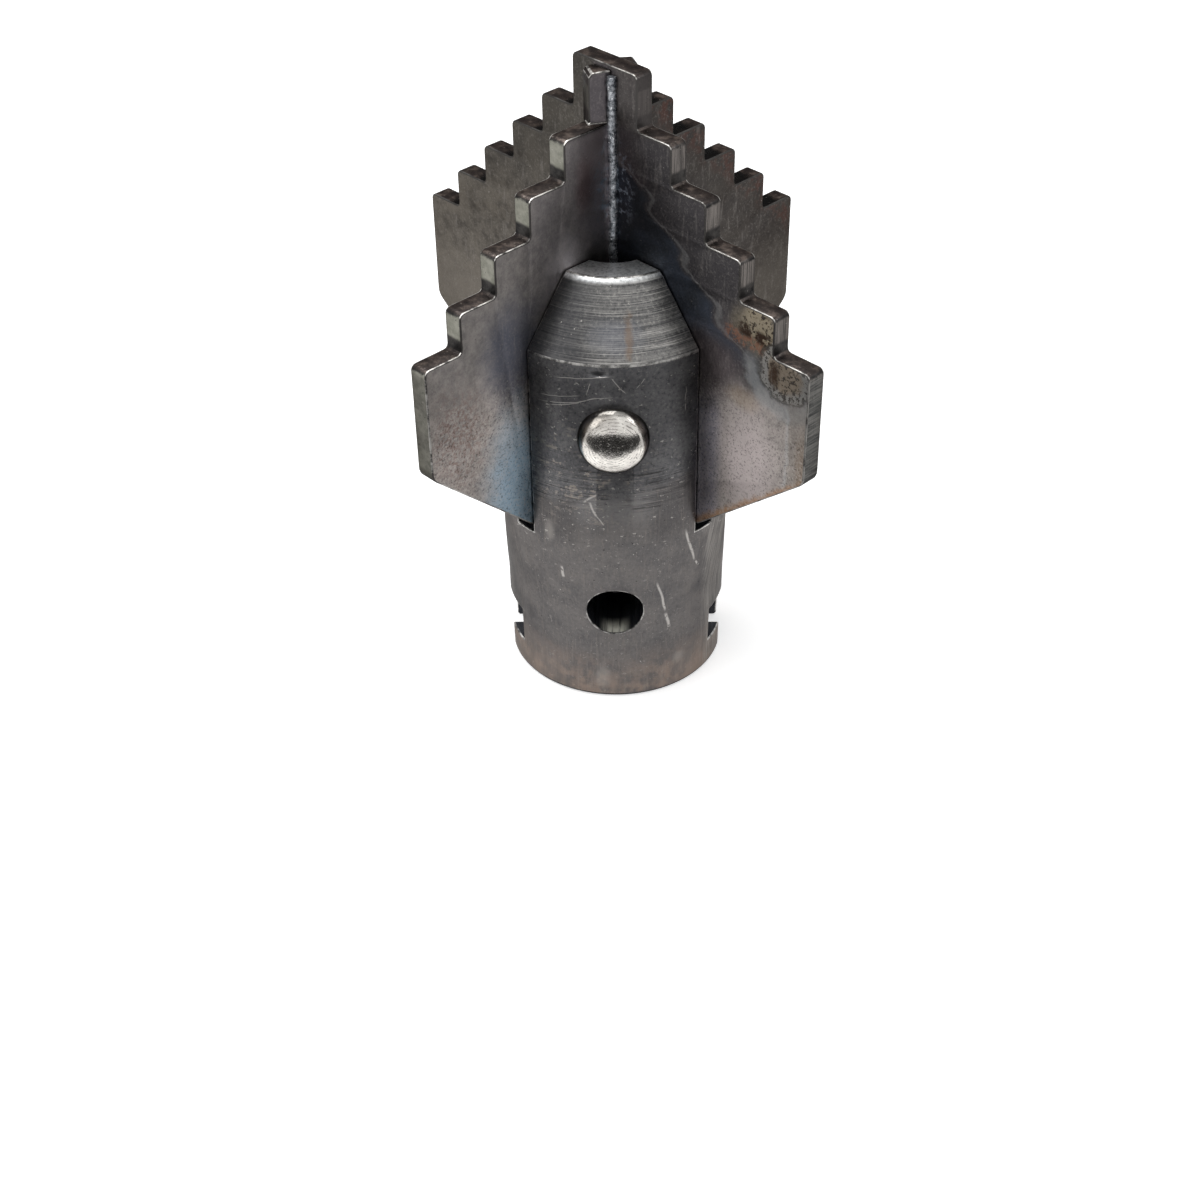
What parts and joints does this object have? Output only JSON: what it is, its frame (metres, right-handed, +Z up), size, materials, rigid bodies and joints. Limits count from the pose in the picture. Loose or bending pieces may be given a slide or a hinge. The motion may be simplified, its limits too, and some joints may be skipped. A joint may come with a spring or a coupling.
{
  "type": "cross blade drain cutter head",
  "caption": "Steel cutter head: two stepped, toothed blades lapped into a cross in a turned body, with a domed cross rivet, corner welds, a release key hole and a T-slot below.",
  "frame": {"origin": "centre of the coupling's lower face, on the tool's axis", "axes": "+Z up the tool towards the tip; -Y is the side with the rivet's first head and the release key hole; the T-slot runs along X; the blades stand at 45 degrees to X and Y"},
  "size_m": [0.033, 0.033, 0.057],
  "materials": {
    "turned_steel": "turned, greyed by heat, fine circular tool marks",
    "blade_steel": "dark mill scale with heat tint, bright sheared edges",
    "rivet_steel": "polished dome",
    "weld_metal": "rough rippled bead"
  },
  "bodies": {
    "root": {"coupling_body": "turned_steel", "blade_lapped_below": "blade_steel", "blade_lapped_above": "blade_steel", "cross_rivet": "rivet_steel", "weld_front": "weld_metal", "weld_back": "weld_metal", "weld_left": "weld_metal", "weld_right": "weld_metal"}
  },
  "joints": []
}
